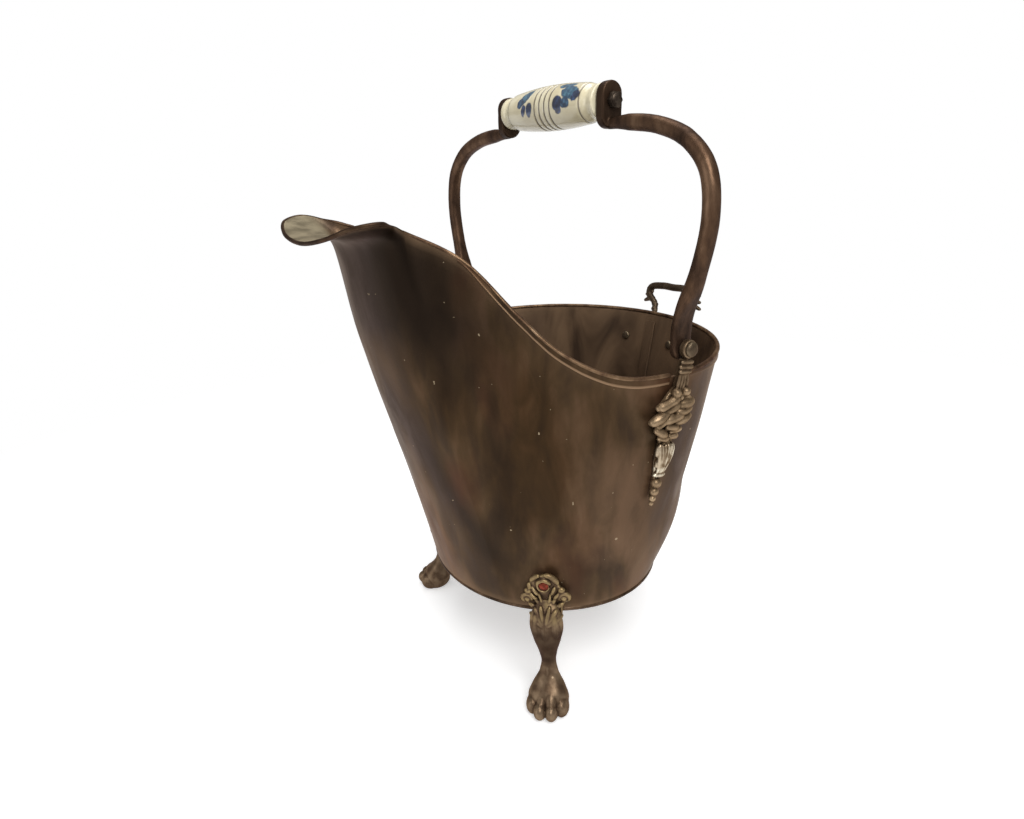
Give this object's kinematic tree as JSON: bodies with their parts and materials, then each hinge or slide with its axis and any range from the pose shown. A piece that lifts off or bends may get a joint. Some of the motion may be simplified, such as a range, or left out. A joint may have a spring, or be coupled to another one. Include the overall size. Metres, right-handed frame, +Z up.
{
  "type": "coal scuttle",
  "caption": "Helmet-shaped metal coal scuttle with a pouring lip, lion-paw feet, a swinging bail with a blue and white ceramic grip, and a fixed tipping handle.",
  "frame": {"origin": "bottom centre of the bounding box, on the floor between the feet", "axes": "+Z up, spout towards -Y, the bail's pivot axis runs along X"},
  "size_m": [0.2866, 0.306, 0.4017],
  "materials": {
    "wall_patina": "dark brown patina with olive and reddish streaks",
    "worn_edge": "worn, satin",
    "gilt_casting": "cast, rubbed bright on the high points",
    "foot_casting": "cast, dull patina",
    "arm_brown": "brown patina, satin",
    "dark_steel": "dull, aged",
    "glazed_grip": null
  },
  "bodies": {
    "body": {"body_wall": "wall_patina", "base_pan": "wall_patina", "base_bead": "worn_edge", "back_seam_strap": "wall_patina", "rim_bead_front": "worn_edge", "rim_bead_back": "worn_edge", "ear_right": "gilt_casting", "ear_left": "gilt_casting", "pivot_pin_right": "gilt_casting", "pivot_pin_left": "gilt_casting", "pivot_washer_right": "dark_steel", "pivot_washer_left": "dark_steel", "ear_stud_upper_right": "gilt_casting", "ear_stud_upper_left": "gilt_casting", "ear_stud_lower_right": "gilt_casting", "ear_stud_lower_left": "gilt_casting", "handle_rivet_right": "gilt_casting", "handle_rivet_left": "gilt_casting", "foot_front_right": "foot_casting", "foot_rivet_front_right": "foot_casting", "foot_front_left": "foot_casting", "foot_rivet_front_left": "foot_casting", "foot_back": "foot_casting", "foot_rivet_back": "foot_casting", "tipping_handle": "gilt_casting"},
    "bail": {"bail_arm_right": "arm_brown", "bail_arm_left": "arm_brown", "rod_nut_right": "dark_steel", "rod_nut_left": "dark_steel", "tie_rod": "dark_steel"},
    "grip": {"grip": "glazed_grip"}
  },
  "joints": [
    {"name": "bail_hinge", "type": "hinge", "parent": "body", "child": "bail", "pos_m": [0, 0.02558, 0.2465], "axis": [1, 0, 0], "range_deg": [-82, 56.5]},
    {"name": "grip_spin", "type": "hinge", "parent": "bail", "child": "grip", "pos_m": [0, 0.03566, 0.38704], "axis": [1, 0, 0], "continuous": true}
  ]
}
